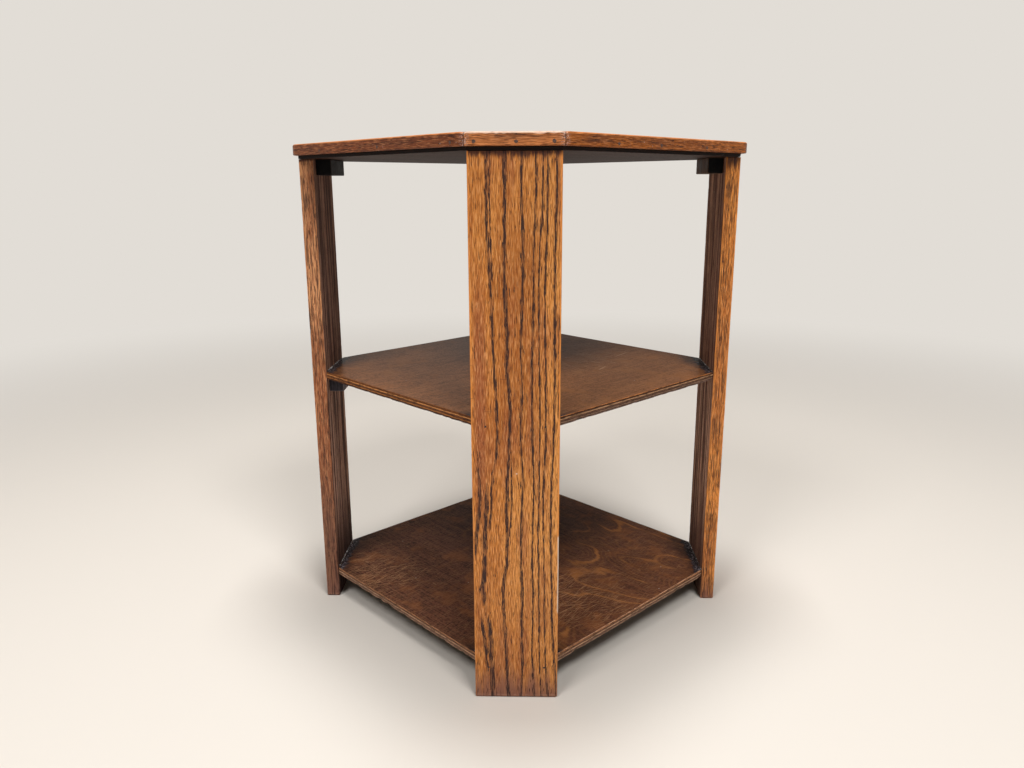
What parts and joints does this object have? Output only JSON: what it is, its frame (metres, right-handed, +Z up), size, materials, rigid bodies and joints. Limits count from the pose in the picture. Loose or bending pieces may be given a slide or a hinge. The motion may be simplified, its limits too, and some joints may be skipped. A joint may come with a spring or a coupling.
{
  "type": "book table",
  "caption": "Square book table with cut corners: a lipped top on flat slab legs set diagonally, with two open plywood shelves butted and pinned to the legs.",
  "frame": {"origin": "on the floor under the middle of the table", "axes": "+Z up, the sides of the top along X and Y, the front leg at +X -Y"},
  "size_m": [0.46, 0.46, 0.61],
  "materials": {
    "leg_oak": "golden brown stained oak with dark open grain, worn satin varnish",
    "lipping_oak": "red-brown stained oak, worn satin varnish",
    "stained_plywood": "dark walnut-stained plywood, satin varnish, layered edges",
    "block_softwood": "softwood stained nearly black, matt",
    "pin_steel": "darkened steel",
    "screw_steel": "dull steel"
  },
  "bodies": {
    "root": {"top_panel": "stained_plywood", "lipping_front": "lipping_oak", "lipping_right": "lipping_oak", "lipping_back": "lipping_oak", "lipping_left": "lipping_oak", "lipping_front_right": "lipping_oak", "lipping_back_right": "lipping_oak", "lipping_back_left": "lipping_oak", "lipping_front_left": "lipping_oak", "leg_front": "leg_oak", "leg_right": "leg_oak", "leg_back": "leg_oak", "leg_left": "leg_oak", "middle_shelf": "stained_plywood", "bottom_shelf": "stained_plywood", "top_block_front": "block_softwood", "top_block_right": "block_softwood", "top_block_back": "block_softwood", "top_block_left": "block_softwood", "middle_block_left": "block_softwood", "middle_pin_front_1": "pin_steel", "middle_pin_front_2": "pin_steel", "middle_pin_right_1": "pin_steel", "middle_pin_right_2": "pin_steel", "middle_pin_back_1": "pin_steel", "middle_pin_back_2": "pin_steel", "middle_pin_left_1": "pin_steel", "middle_pin_left_2": "pin_steel", "bottom_pin_front_1": "pin_steel", "bottom_pin_front_2": "pin_steel", "bottom_pin_right_1": "pin_steel", "bottom_pin_right_2": "pin_steel", "bottom_pin_back_1": "pin_steel", "bottom_pin_back_2": "pin_steel", "bottom_pin_left_1": "pin_steel", "bottom_pin_left_2": "pin_steel", "top_screw_front_1": "screw_steel", "top_screw_front_2": "screw_steel", "top_screw_right_1": "screw_steel", "top_screw_right_2": "screw_steel", "top_screw_back_1": "screw_steel", "top_screw_back_2": "screw_steel", "top_screw_left_1": "screw_steel", "top_screw_left_2": "screw_steel"}
  },
  "joints": []
}
